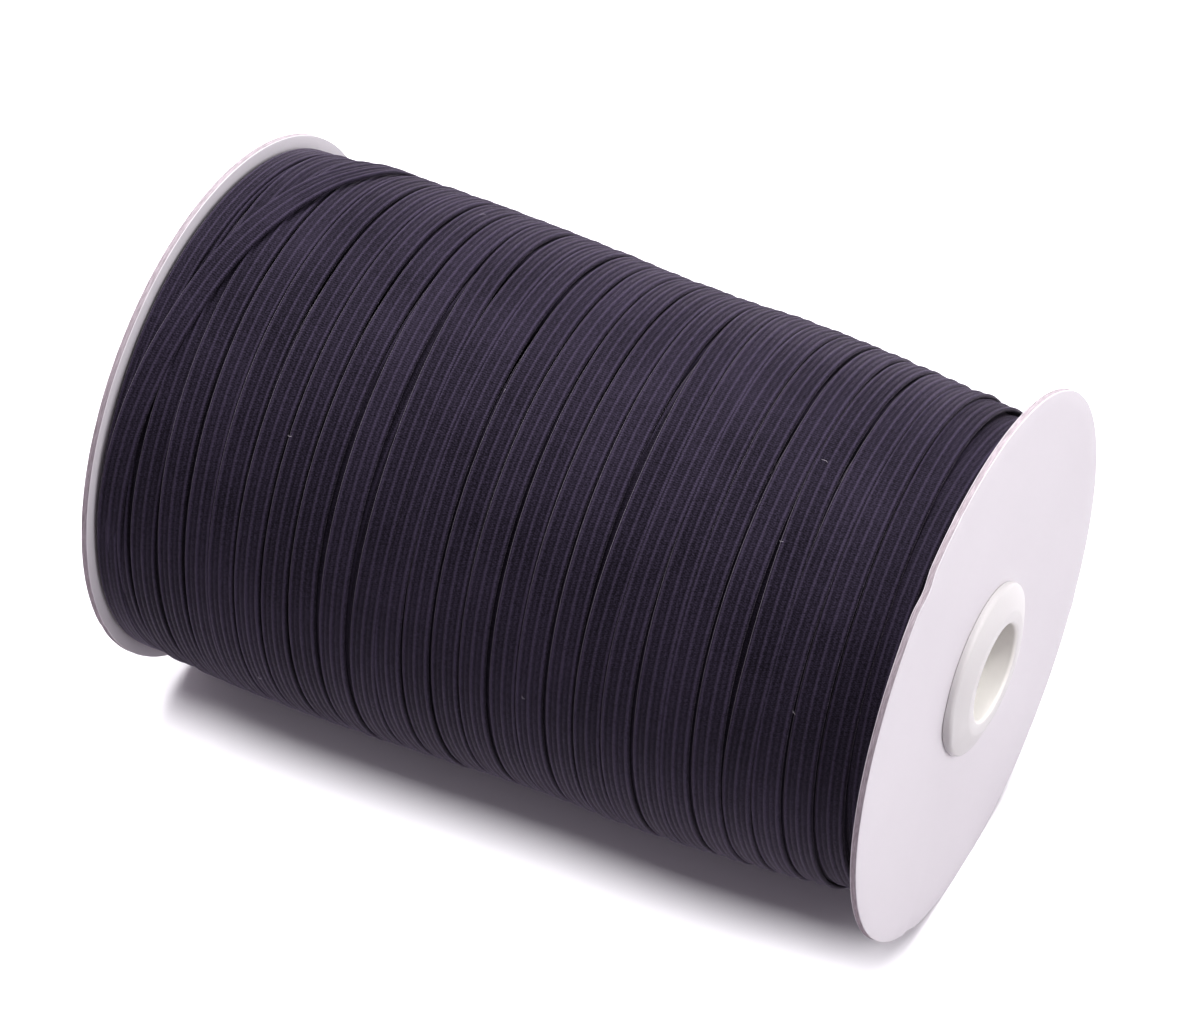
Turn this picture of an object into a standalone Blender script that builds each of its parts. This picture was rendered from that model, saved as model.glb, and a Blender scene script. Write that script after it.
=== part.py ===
"""A reel of flat elastic: two card discs, two hub bushes and the wound elastic between them.

Metres, +Z up. The reel lies on its rims with its axis along X. The origin is on the floor,
under the middle of the reel. Angles about the axis are in degrees: 0 is the top, and positive
turns towards the front, which is -Y.
"""
import math

import bmesh
import bpy

MM = 0.001

# Driving dimensions
DISC_DIAMETER = 109 * MM
DISC_THICKNESS = 1.3 * MM
TURN_COUNT = 27
TURN_PITCH = 5.93 * MM
SEAT_GAP = 0.3 * MM
FLAT_DEPTH = 0.28 * MM
BORE_DIAMETER = 19.2 * MM
SLEEVE_WALL = 1.6 * MM
COLLAR_DIAMETER = 34.4 * MM
COLLAR_HEIGHT = 2.8 * MM
COLLAR_EDGE_HEIGHT = 1.4 * MM
COLLAR_EDGE_ROUND = 0.6 * MM
COLLAR_FLAT_DIAMETER = 25.2 * MM
MOUTH_ROUND = 0.6 * MM

# Worked out from them
DISC_RADIUS = DISC_DIAMETER / 2
AXIS_HEIGHT = DISC_RADIUS - FLAT_DEPTH
WINDING_LENGTH = TURN_COUNT * TURN_PITCH
DISC_INNER_FACE = WINDING_LENGTH / 2 + SEAT_GAP
DISC_OUTER_FACE = DISC_INNER_FACE + DISC_THICKNESS
COLLAR_SEAT = DISC_OUTER_FACE + SEAT_GAP
BORE_RADIUS = BORE_DIAMETER / 2
SLEEVE_RADIUS = BORE_RADIUS + SLEEVE_WALL
HOLE_RADIUS = SLEEVE_RADIUS + SEAT_GAP
COLLAR_RADIUS = COLLAR_DIAMETER / 2
COLLAR_FLAT_RADIUS = COLLAR_FLAT_DIAMETER / 2

# How finely the round pieces are cut
DISC_STEPS = 72
HUB_STEPS = 40
WINDING_STEPS = 52
EDGE_ARC_STEPS = 3

# The groove between two turns, and the shoulders of a turn as shares of its width
GROOVE_DEPTH = 1.1 * MM
SHOULDERS = (0.17, 0.83)
TURN_HEIGHT_SPREAD = 0.14 * MM

# Radius of the turns' crests along the reel. Millimetres from the middle, then radius.
WINDING_RADII = (
    (-80.1, 51.5),
    (-70.0, 52.6),
    (-58.0, 53.3),
    (-46.0, 53.4),
    (-30.0, 53.0),
    (-12.0, 52.2),
    (0.0, 51.5),
    (14.0, 51.1),
    (28.0, 51.2),
    (42.0, 50.6),
    (56.0, 49.5),
    (68.0, 48.5),
    (80.1, 46.9),
)

# Where the turns swing sideways. Each row is a soft patch: its middle along the reel (mm),
# its middle about the axis (degrees), its half length, its half angle, and the swing (mm).
SWINGS = (
    (-23.2, 45, 10.0, 80, 3.4),
    (25.9, 20, 9.0, 60, 2.2),
    (55.3, 52, 7.0, 46, 1.7),
    (-62.0, 105, 17.0, 90, 2.2),
    (32.0, -40, 34.0, 75, -2.4),
)

# The helix of the turns leans by one pitch in a full turn, and is drawn back over the hidden
# stretch between these two angles.
LEAN_BACK_FROM = 150
LEAN_BACK_TO = 210

# The turn that crosses over the others on its way to the left disc. Each row is a section:
# angle (degrees), distance of its middle from the left disc (mm), height of its crown over
# the turns (mm).
CROSSING = (
    (-100, 35.0, -1.4),
    (-82, 32.6, 0.3),
    (-62, 29.0, 0.85),
    (-45, 25.4, 0.9),
    (-28, 21.0, 0.95),
    (-15, 16.7, 0.95),
    (0, 12.9, 0.95),
    (15, 9.9, 0.95),
    (30, 7.7, 0.9),
    (45, 5.7, 0.8),
    (60, 4.4, 0.6),
    (76, 3.9, 0.3),
    (94, 3.8, -1.4),
)
CROSSING_STEP = 5
CROSSING_HALF_WIDTH = 2.8 * MM
CROSSING_FLAT_HALF = 1.7 * MM
CROSSING_SHOULDER_DROP = 0.45 * MM
CROSSING_DEPTH = 2.4 * MM


def collection_named(name):
    found = bpy.data.collections.new(name)
    bpy.context.scene.collection.children.link(found)
    return found


def move_to(obj, collection):
    for holder in list(obj.users_collection):
        holder.objects.unlink(obj)
    collection.objects.link(obj)


def plain_material(name, color, roughness):
    material = bpy.data.materials.new(name)
    material.use_nodes = True
    shader = material.node_tree.nodes["Principled BSDF"]
    shader.inputs["Base Color"].default_value = (*color, 1)
    shader.inputs["Roughness"].default_value = roughness
    shader.inputs["Metallic"].default_value = 0
    return material


def object_from(name, vertices, faces, collection):
    """A mesh object from points and faces, with its faces turned outwards."""
    mesh = bpy.data.meshes.new(name)
    mesh.from_pydata(vertices, [], faces)
    work = bmesh.new()
    work.from_mesh(mesh)
    bmesh.ops.recalc_face_normals(work, faces=work.faces[:])
    work.to_mesh(mesh)
    work.free()
    obj = bpy.data.objects.new(name, mesh)
    collection.objects.link(obj)
    return obj


def arc(center, radius, start, end):
    """Points on a rounded edge in a turned profile, from one angle to the other."""
    points = []
    for step in range(EDGE_ARC_STEPS + 1):
        angle = math.radians(start + (end - start) * step / EDGE_ARC_STEPS)
        points.append((center[0] + radius * math.cos(angle), center[1] + radius * math.sin(angle)))
    return points


def turned(name, profile, steps, material, axis_parent, side):
    """A closed profile of (radius, height) turned round the reel's axis.

    Heights grow away from the middle of the reel. side is 1 for the right end, -1 for the left.
    """
    mesh = bpy.data.meshes.new(name)
    count = len(profile)
    vertices = [(radius, 0, height) for radius, height in profile]
    mesh.from_pydata(vertices, [(i, (i + 1) % count) for i in range(count)], [])
    obj = bpy.data.objects.new(name, mesh)
    parts.objects.link(obj)
    screw = obj.modifiers.new("turn", "SCREW")
    screw.axis = "Z"
    screw.steps = steps
    screw.render_steps = steps
    screw.use_merge_vertices = True
    screw.merge_threshold = 0.00005
    screw.use_smooth_shade = True
    obj.rotation_euler = (0, side * math.pi / 2, 0)
    obj.parent = axis_parent
    mesh.materials.append(material)
    return obj


def between_rows(rows, position, column):
    """The value in one column of a table, smoothed between the rows by position."""
    if position <= rows[0][0]:
        return rows[0][column]
    for low, high in zip(rows, rows[1:]):
        if position <= high[0]:
            share = (position - low[0]) / (high[0] - low[0])
            ease = (1 - math.cos(math.pi * share)) / 2
            blend = 0.5 * share + 0.5 * ease
            return low[column] + (high[column] - low[column]) * blend
    return rows[-1][column]


def crest_radius(station):
    return between_rows(WINDING_RADII, station / MM, 1) * MM


def bell(distance):
    """1 at the middle of a patch, falling smoothly to 0 at its edge."""
    if abs(distance) >= 1:
        return 0
    return 0.5 + 0.5 * math.cos(math.pi * distance)


def angle_between(angle, middle):
    """The signed angle from the middle, the short way round."""
    return (angle - middle + 180) % 360 - 180


def lean(angle):
    """Sideways run of the helix at an angle, drawn back over the hidden stretch."""
    wrapped = angle % 360
    if wrapped > LEAN_BACK_TO:
        wrapped -= 360
    if wrapped <= LEAN_BACK_FROM:
        return TURN_PITCH * wrapped / 360
    share = (wrapped - LEAN_BACK_FROM) / (LEAN_BACK_TO - LEAN_BACK_FROM)
    start = TURN_PITCH * LEAN_BACK_FROM / 360
    end = TURN_PITCH * (LEAN_BACK_TO - 360) / 360
    return start + (end - start) * share


def sideways(station, angle):
    """How far the turns at a place run off a plain ring. It dies out at both discs."""
    shift = lean(angle)
    for middle, middle_angle, half_length, half_angle, swing in SWINGS:
        along = bell((station / MM - middle) / half_length)
        around = bell(angle_between(angle, middle_angle) / half_angle)
        shift += swing * MM * along * around
    end_share = abs(station) / (WINDING_LENGTH / 2)
    return shift * (1 - end_share**10)


def winding_columns():
    """(station, drop below the crests) of each column of points, from the left to the right."""
    start = -WINDING_LENGTH / 2
    columns = []
    for turn in range(TURN_COUNT):
        left = start + turn * TURN_PITCH
        unevenness = TURN_HEIGHT_SPREAD * math.sin(2.4 * turn + 0.6)
        columns.append((left, GROOVE_DEPTH))
        for share in SHOULDERS:
            columns.append((left + share * TURN_PITCH, unevenness))
    columns.append((-start, GROOVE_DEPTH))
    return columns


def make_winding(material, axis_parent):
    """One solid of the wound elastic: a ridge for every turn, bored for the hub sleeves."""
    half = WINDING_LENGTH / 2
    rings = []
    for station, drop in winding_columns():
        ring = []
        for step in range(WINDING_STEPS):
            angle = 360 * step / WINDING_STEPS
            turn = math.radians(angle)
            radius = crest_radius(station) - drop
            along = station + sideways(station, angle)
            ring.append((along, -radius * math.sin(turn), radius * math.cos(turn)))
        rings.append(ring)
    for end in (half, -half):
        ring = []
        for step in range(WINDING_STEPS):
            turn = math.radians(360 * step / WINDING_STEPS)
            ring.append((end, -HOLE_RADIUS * math.sin(turn), HOLE_RADIUS * math.cos(turn)))
        rings.append(ring)
    vertices = [point for ring in rings for point in ring]
    faces = []
    for index in range(len(rings)):
        following = (index + 1) % len(rings)
        for step in range(WINDING_STEPS):
            beside = (step + 1) % WINDING_STEPS
            faces.append(
                (
                    index * WINDING_STEPS + step,
                    index * WINDING_STEPS + beside,
                    following * WINDING_STEPS + beside,
                    following * WINDING_STEPS + step,
                )
            )
    obj = object_from("elastic_winding", vertices, faces, parts)
    obj.data.materials.append(material)
    obj.parent = axis_parent
    return obj


def crossing_point(angle):
    """The middle of the crossing turn at the height of the crests, and its crown's height."""
    from_disc = between_rows(CROSSING, angle, 1) * MM
    crown = between_rows(CROSSING, angle, 2) * MM
    station = from_disc - DISC_INNER_FACE
    return station, crest_radius(station), crown


def make_crossing(axis_parent):
    """The crossing turn as a low band, sunk into the turns that it lies on."""
    section = (
        (-CROSSING_HALF_WIDTH, -CROSSING_DEPTH),
        (-CROSSING_HALF_WIDTH, -CROSSING_SHOULDER_DROP),
        (-CROSSING_FLAT_HALF, 0),
        (CROSSING_FLAT_HALF, 0),
        (CROSSING_HALF_WIDTH, -CROSSING_SHOULDER_DROP),
        (CROSSING_HALF_WIDTH, -CROSSING_DEPTH),
    )
    first = CROSSING[0][0]
    last = CROSSING[-1][0]
    count = round((last - first) / CROSSING_STEP) + 1
    vertices = []
    for index in range(count):
        angle = first + (last - first) * index / (count - 1)
        station, radius, crown = crossing_point(angle)
        ahead = crossing_point(angle + 0.5)[0] - crossing_point(angle - 0.5)[0]
        run = math.radians(1) * radius
        heading = math.atan2(ahead, run)
        for across, up in section:
            turn = math.radians(angle) - across * math.sin(heading) / radius
            level = radius + crown + up
            along = station + across * math.cos(heading)
            vertices.append((along, -level * math.sin(turn), level * math.cos(turn)))
    size = len(section)
    faces = [tuple(range(size)), tuple(range((count - 1) * size, count * size))]
    for index in range(count - 1):
        for corner in range(size):
            beside = (corner + 1) % size
            low = index * size
            high = low + size
            faces.append((low + corner, low + beside, high + beside, high + corner))
    obj = object_from("crossing_turn", vertices, faces, cutters)
    obj.parent = axis_parent
    obj.hide_render = True
    obj.display_type = "WIRE"
    return obj


def make_floor_cutter():
    """A box under the floor line, which takes the small flat off both rims."""
    length = 2 * DISC_OUTER_FACE + DISC_DIAMETER
    depth = DISC_RADIUS
    bpy.ops.mesh.primitive_cube_add(size=1, location=(0, 0, -depth / 2))
    obj = bpy.context.object
    obj.name = "floor_cutter"
    obj.scale = (length, DISC_DIAMETER, depth)
    move_to(obj, cutters)
    obj.hide_render = True
    obj.display_type = "WIRE"
    return obj


def add_boolean(obj, other, operation):
    boolean = obj.modifiers.new(operation.lower(), "BOOLEAN")
    boolean.operation = operation
    boolean.solver = "EXACT"
    boolean.object = other


def make_disc(side_name, side, material, axis_parent, floor_cutter):
    """A card disc with its centre hole and a small flat on the rim that it stands on."""
    profile = (
        (DISC_RADIUS, DISC_OUTER_FACE),
        (DISC_RADIUS, DISC_INNER_FACE),
        (HOLE_RADIUS, DISC_INNER_FACE),
        (HOLE_RADIUS, DISC_OUTER_FACE),
    )
    disc = turned("card_disc_" + side_name, profile, DISC_STEPS, material, axis_parent, side)
    add_boolean(disc, floor_cutter, "DIFFERENCE")
    return disc


def make_hub(side_name, side, material, axis_parent):
    """A plastic bush: a collar on the disc's face and a sleeve to the middle of the reel.

    The collar is flat round its mouth and slopes down to a thinner rounded edge.
    """
    top = COLLAR_SEAT + COLLAR_HEIGHT
    edge = (COLLAR_RADIUS - COLLAR_EDGE_ROUND, COLLAR_SEAT + COLLAR_EDGE_HEIGHT - COLLAR_EDGE_ROUND)
    mouth = (BORE_RADIUS + MOUTH_ROUND, top - MOUTH_ROUND)
    profile = (
        (COLLAR_FLAT_RADIUS, top),
        *arc(edge, COLLAR_EDGE_ROUND, 70, 0),
        (COLLAR_RADIUS, COLLAR_SEAT),
        (SLEEVE_RADIUS, COLLAR_SEAT),
        (SLEEVE_RADIUS, SEAT_GAP / 2),
        (BORE_RADIUS, SEAT_GAP / 2),
        *arc(mouth, MOUTH_ROUND, 180, 90),
    )
    return turned("hub_" + side_name, profile, HUB_STEPS, material, axis_parent, side)


for old in list(bpy.data.objects):
    bpy.data.objects.remove(old, do_unlink=True)

parts = collection_named("reel_of_elastic")
cutters = collection_named("cutters")

card = plain_material("card", (0.80, 0.77, 0.79), 0.6)
plastic = plain_material("hub_plastic", (0.82, 0.81, 0.79), 0.35)
elastic = plain_material("elastic", (0.035, 0.030, 0.045), 0.8)

reel_axis = bpy.data.objects.new("reel_axis", None)
reel_axis.location = (0, 0, AXIS_HEIGHT)
parts.objects.link(reel_axis)

cutter = make_floor_cutter()
for end_name, end_side in (("left", -1), ("right", 1)):
    make_disc(end_name, end_side, card, reel_axis, cutter)
    make_hub(end_name, end_side, plastic, reel_axis)

winding = make_winding(elastic, reel_axis)
add_boolean(winding, make_crossing(reel_axis), "UNION")
winding.data.shade_smooth()
winding.data.set_sharp_from_angle(angle=math.radians(50))
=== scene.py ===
# %% [markdown]
# # A reel of flat elastic
#
# The packed model holds five pieces: the wound elastic, two card discs and two plastic hub
# bushes. This script gives each of them its real surface. The elastic is the main piece, so it
# is wound here as a real band: one long flat braid laid side by side from disc to disc.
# The axis and the outer sizes of the discs, winding and hubs are read from the packed model,
# so nothing has to be fitted afterwards.

# %% Load the packed model
import math
import random

import bmesh
import bpy
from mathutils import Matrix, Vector, noise


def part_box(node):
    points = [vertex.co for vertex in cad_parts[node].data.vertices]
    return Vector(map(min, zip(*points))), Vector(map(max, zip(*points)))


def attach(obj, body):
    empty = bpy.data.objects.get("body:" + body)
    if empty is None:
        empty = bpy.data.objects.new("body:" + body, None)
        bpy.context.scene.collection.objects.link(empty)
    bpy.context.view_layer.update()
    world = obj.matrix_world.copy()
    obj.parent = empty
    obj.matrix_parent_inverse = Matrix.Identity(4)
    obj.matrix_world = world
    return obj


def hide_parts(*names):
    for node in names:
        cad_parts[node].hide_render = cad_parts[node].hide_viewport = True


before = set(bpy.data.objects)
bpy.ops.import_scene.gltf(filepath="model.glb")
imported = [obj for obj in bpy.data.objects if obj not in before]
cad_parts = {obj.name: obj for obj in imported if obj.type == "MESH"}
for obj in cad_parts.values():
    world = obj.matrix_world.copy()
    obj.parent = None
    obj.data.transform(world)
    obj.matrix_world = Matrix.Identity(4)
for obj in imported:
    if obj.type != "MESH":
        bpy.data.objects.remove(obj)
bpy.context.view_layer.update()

MM = 0.001
disc_low, disc_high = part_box("card_disc_right")
DISC_RADIUS = (disc_high.y - disc_low.y) / 2
AXIS_HEIGHT = disc_high.z - DISC_RADIUS
DISC_INNER_FACE = disc_low.x
DISC_OUTER_FACE = disc_high.x
WINDING_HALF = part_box("elastic_winding")[1].x
print("disc radius and axis height, mm:", round(DISC_RADIUS / MM, 2), round(AXIS_HEIGHT / MM, 2))

# %% [markdown]
# ## Camera
#
# The photograph looks down on the reel from its front right, through a long lens. The camera
# stands at that angle, and its distance and aim give the same framing. The display's gamma is a
# little under 1, which deepens the dark tones of the yarn as in the photograph.

# %% Camera
CAMERA_AZIMUTH = math.radians(27.68)
CAMERA_ELEVATION = math.radians(43.81)
CAMERA_DISTANCE = 15.61 * DISC_RADIUS
LENS = 132.3
SENSOR_WIDTH = 36
FARTHEST_SEEN = 20
# The aim lies off the reel's middle by these shares of the distance.
AIM_RIGHT = 0.0015
AIM_UP = 0.0030
DISPLAY_GAMMA = 0.8

reel_center = Vector((0, 0, AXIS_HEIGHT))
toward_camera = Vector(
    (
        math.sin(CAMERA_AZIMUTH) * math.cos(CAMERA_ELEVATION),
        -math.cos(CAMERA_AZIMUTH) * math.cos(CAMERA_ELEVATION),
        math.sin(CAMERA_ELEVATION),
    )
)
screen_right = Vector((math.cos(CAMERA_AZIMUTH), math.sin(CAMERA_AZIMUTH), 0))
screen_up = toward_camera.cross(screen_right)
aim = reel_center + (screen_right * AIM_RIGHT + screen_up * AIM_UP) * CAMERA_DISTANCE


def add_object(name, data):
    """An object in the scene for a mesh, a lamp or a camera."""
    obj = bpy.data.objects.new(name, data)
    bpy.context.scene.collection.objects.link(obj)
    return obj


camera = add_object("camera", bpy.data.cameras.new("camera"))
camera.location = reel_center + toward_camera * CAMERA_DISTANCE
camera.rotation_euler = (aim - camera.location).to_track_quat("-Z", "Y").to_euler()
camera.data.lens = LENS
camera.data.sensor_width = SENSOR_WIDTH
camera.data.clip_end = FARTHEST_SEEN
bpy.context.scene.camera = camera
bpy.context.scene.view_settings.view_transform = "Standard"
bpy.context.scene.view_settings.gamma = DISPLAY_GAMMA
print("camera at", [round(v, 3) for v in camera.location])

# %% [markdown]
# ## Writing node trees as sums
#
# Finishes and windings here are formulas. Math nodes could be added one by one, but a formula
# spread over twenty nodes is hard to read. So one small class stands for an output in a tree,
# and arithmetic on it adds the nodes. Every other kind of node comes from one method.

# %% A wire that does arithmetic


class Wire:
    """One output in a node tree. Arithmetic on it adds the Math nodes that work it out."""

    def __init__(self, graph, node, socket):
        self.graph = graph
        self.node = node
        self.socket = socket

    def also(self, name):
        """Another output of the same node."""
        return Wire(self.graph, self.node, self.node.outputs[name])

    def math(self, operation, *others):
        inputs = dict(enumerate((self, *others)))
        return self.graph.add("ShaderNodeMath", {"operation": operation}, inputs)

    def math_after(self, operation, first):
        return self.graph.add("ShaderNodeMath", {"operation": operation}, {0: first, 1: self})

    def __add__(self, other):
        return self.math("ADD", other)

    __radd__ = __add__

    def __mul__(self, other):
        return self.math("MULTIPLY", other)

    __rmul__ = __mul__

    def __sub__(self, other):
        return self.math("SUBTRACT", other)

    def __rsub__(self, other):
        return self.math_after("SUBTRACT", other)

    def __truediv__(self, other):
        return self.math("DIVIDE", other)

    def __rtruediv__(self, other):
        return self.math_after("DIVIDE", other)

    def __mod__(self, other):
        return self.math("FLOORED_MODULO", other)

    def __pow__(self, other):
        return self.math("POWER", other)

    def __lt__(self, other):
        return self.math("LESS_THAN", other)

    def __gt__(self, other):
        return self.math("GREATER_THAN", other)

    def __abs__(self):
        return self.math("ABSOLUTE")

    def sine(self):
        return self.math("SINE")

    def cosine(self):
        return self.math("COSINE")

    def limited(self, low, high):
        return self.math("MAXIMUM", low).math("MINIMUM", high)

    def smooth(self, low, high):
        """0 below low, 1 above high, eased between."""
        share = ((self - low) / (high - low)).limited(0, 1)
        return share * share * (3 - 2 * share)


print("a wire's operators:", [name for name in vars(Wire) if name.startswith("__r")])

# %% A tree with one way to add a node


class Graph:
    """A node tree with one way to add a node."""

    def __init__(self, tree):
        self.tree = tree

    def add(self, kind, settings=None, inputs=None, out=0):
        """Adds a node: its settings first, then a value or a wire for each named input."""
        node = self.tree.nodes.new(kind)
        for key, value in (settings or {}).items():
            if key == "stops":
                self.set_stops(node.color_ramp, value)
            elif key == "curve":
                self.set_curve(node.mapping, value)
            else:
                setattr(node, key, value)
        self.plug(node, inputs or {})
        return Wire(self, node, node.outputs[out] if len(node.outputs) else None)

    def plug(self, node, inputs):
        """Sets values and wires on the inputs of a node that is already there."""
        for key, value in inputs.items():
            if isinstance(value, Wire):
                self.tree.links.new(value.socket, node.inputs[key])
            else:
                node.inputs[key].default_value = value

    @staticmethod
    def set_stops(ramp, stops):
        while len(ramp.elements) < len(stops):
            ramp.elements.new(0.5)
        for element, (place, color) in zip(ramp.elements, stops):
            element.position = place
            element.color = (*color, 1)

    @staticmethod
    def set_curve(mapping, points):
        curve = mapping.curves[0]
        while len(curve.points) < len(points):
            curve.points.new(0.5, 0.5)
        for point, (x, y) in zip(curve.points, points):
            point.location = (x, y)
            point.handle_type = "AUTO"
        mapping.update()

    def noise(self, place, scale, detail, roughness):
        values = {"Vector": place, "Scale": scale, "Detail": detail, "Roughness": roughness}
        return self.add("ShaderNodeTexNoise", None, values)

    def bump(self, strength, distance, height):
        values = {"Strength": strength, "Distance": distance, "Height": height}
        return self.add("ShaderNodeBump", None, values)

    def mix_colors(self, share, first, second):
        values = {"Factor": share, 6: (*first, 1), 7: (*second, 1)}
        return self.add("ShaderNodeMix", {"data_type": "RGBA"}, values, out=2)


def new_material(name):
    """A material with an empty tree, and its Principled shader's node."""
    material = bpy.data.materials.new(name)
    material.use_nodes = True
    material.node_tree.nodes.clear()
    graph = Graph(material.node_tree)
    shader = graph.add("ShaderNodeBsdfPrincipled")
    graph.add("ShaderNodeOutputMaterial", None, {"Surface": shader})
    return material, graph, shader.node


print("a tree's methods:", [name for name in vars(Graph) if not name.startswith("_")])

# %% [markdown]
# ## Floor and light
#
# The floor is plain and nearly white, and an even surround lights everything softly. Four soft
# lamps do the rest. The one above the front lights only the floor, and the reel's shadow in its
# light is the wide soft one of the photograph. The one behind gives the sheen along the top of
# the elastic, and the one at the right lights the card. The small one lights only the hubs,
# whose plastic is as bright as the card in the photograph. The floor throws no light back on the
# reel, because the lower half of the elastic is dark in the photograph.

# %% Floor
FLOOR_SIZE = 6.0
FLOOR_COLOR = (0.93, 0.92, 0.94)
FLOOR_ROUGHNESS = 0.9

floor_material, floor_graph, floor_shader = new_material("pale_floor")
floor_graph.plug(floor_shader, {"Base Color": (*FLOOR_COLOR, 1), "Roughness": FLOOR_ROUGHNESS})
floor_mesh = bpy.data.meshes.new("floor")
half = FLOOR_SIZE / 2
floor_mesh.from_pydata(
    [(-half, -half, 0), (half, -half, 0), (half, half, 0), (-half, half, 0)], [], [(0, 1, 2, 3)]
)
floor_mesh.materials.append(floor_material)
floor = add_object("floor", floor_mesh)
floor.visible_diffuse = False
print("floor, m:", FLOOR_SIZE)

# %% Light
# Powers are in watts, sizes and places in metres.
SURROUND_COLOR = (1, 0.92, 1.01)
SURROUND_STRENGTH = 0.5
PANEL_POWER = 15
PANEL_LENGTH = 0.9
PANEL_SIZE = 0.34
PANEL_PLACE = Vector((0.03, -0.47, 1.15))
BACK_POWER = 21
BACK_SIZE = 0.9
BACK_PLACE = Vector((-0.14, 0.62, 1.25))
SIDE_POWER = 10.8
SIDE_SIZE = 0.9
SIDE_PLACE = Vector((1.2, -0.1, 0.85))
HUB_POWER = 2.1
HUB_LAMP_SIZE = 0.2
HUB_LAMP_PLACE = Vector((0.42, 0.13, 0.88))

surround = bpy.data.worlds.new("soft_surround")
surround.use_nodes = True
surround_graph = Graph(surround.node_tree)
surround_graph.plug(
    surround.node_tree.nodes["Background"],
    {"Color": (*SURROUND_COLOR, 1), "Strength": SURROUND_STRENGTH},
)
bpy.context.scene.world = surround


def area_light(name, place, length, size, power):
    """A soft rectangular lamp that faces the middle of the reel."""
    lamp = bpy.data.lights.new(name, "AREA")
    lamp.shape = "RECTANGLE"
    lamp.size = length
    lamp.size_y = size
    lamp.energy = power
    obj = add_object(name, lamp)
    obj.location = place
    obj.rotation_euler = (reel_center - place).to_track_quat("-Z", "Y").to_euler()
    return obj


floor_lit = bpy.data.collections.new("floor_only")
floor_lit.objects.link(floor)
panel = area_light("panel_above", PANEL_PLACE, PANEL_LENGTH, PANEL_SIZE, PANEL_POWER)
panel.light_linking.receiver_collection = floor_lit
area_light("panel_behind", BACK_PLACE, BACK_SIZE, BACK_SIZE, BACK_POWER)
area_light("panel_right", SIDE_PLACE, SIDE_SIZE, SIDE_SIZE, SIDE_POWER)
hubs_lit = bpy.data.collections.new("hubs_only")
hub_lamp = area_light("panel_hubs", HUB_LAMP_PLACE, HUB_LAMP_SIZE, HUB_LAMP_SIZE, HUB_POWER)
hub_lamp.light_linking.receiver_collection = hubs_lit

# %% [markdown]
# ## The finish of the elastic
#
# Flat elastic is a braid of near-black yarn over rubber cords. Each rib is one plaited strand,
# so its surface is a row of tiny slanted stitches. An image of cloth could be laid on, but it
# would stretch and repeat. Here the band carries two attributes from its making, the run along
# it and the place across it, and the stitches are worked out from those, so they follow every
# bend of the band. Every other rib stands higher. The crest of each rib is painted lighter, a
# painted highlight, and on the higher ribs it is brighter.

# %% Unevenness along the band
# Waves along the band: cycles in a turn, size, start (radians). As the cycles aren't whole,
# each turn differs from the next. The sizes of WOBBLE and LEAN are in millimetres, and those of
# TURN_SHADE are shares of the way from the dark colour to the light one.
WOBBLE = ((0.43, 0.14, 0.3), (1.61, 0.10, 1.9), (2.37, 0.07, 4.0))
LEAN = ((0.37, 0.09, 1.1), (1.29, 0.06, 2.6))
TURN_SHADE = ((0.39, 0.035, 0.7), (1.83, 0.025, 3.1))
TURN_LENGTH = 2 * math.pi * DISC_RADIUS


def waves(turn, table):
    """The sum of a table's waves at a place along the band, counted in turns."""
    total = None
    for cycles, size, start in table:
        wave = (turn * (cycles * 2 * math.pi) + start).sine() * size
        total = wave if total is None else total + wave
    return total


print("waves in a turn:", [cycles for cycles, _, _ in WOBBLE + LEAN + TURN_SHADE])

# %% Elastic material
RIB_COUNT = 5
STITCH_LENGTH = 0.50 * MM
STITCH_SLANT = 1.3
CREST_SHARPNESS = 3.5
ELASTIC_DARK = (0.010, 0.0074, 0.015)
ELASTIC_LIGHT = (0.086, 0.070, 0.113)
# Shares of the way from the dark colour to the light one
BASE_SHADE = 0.25
WEAVE_SHADE = 0.7
STITCH_SHADE = 0.34
FIBRE_SHADE = 2.4
PATCH_SHADE = 0.6
WEAVE_MIDDLE = 0.21
# The painted highlight on the rib crests: its share on every crest, and its extra share on the higher
# ribs.
CREST_PAINTED_HIGHLIGHT = 0.17
HIGH_CREST_PAINTED_HIGHLIGHT = 0.50
CREST_FIBRES = (0.35, 1.3)
STITCH_RELIEF = 0.6
MEAN_ROUGHNESS = 0.66
ROUGHNESS_SPREAD = 0.2
# The pattern keeps this far inside the band's two edges, in ribs.
EDGE_MARGIN = 0.001


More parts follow.
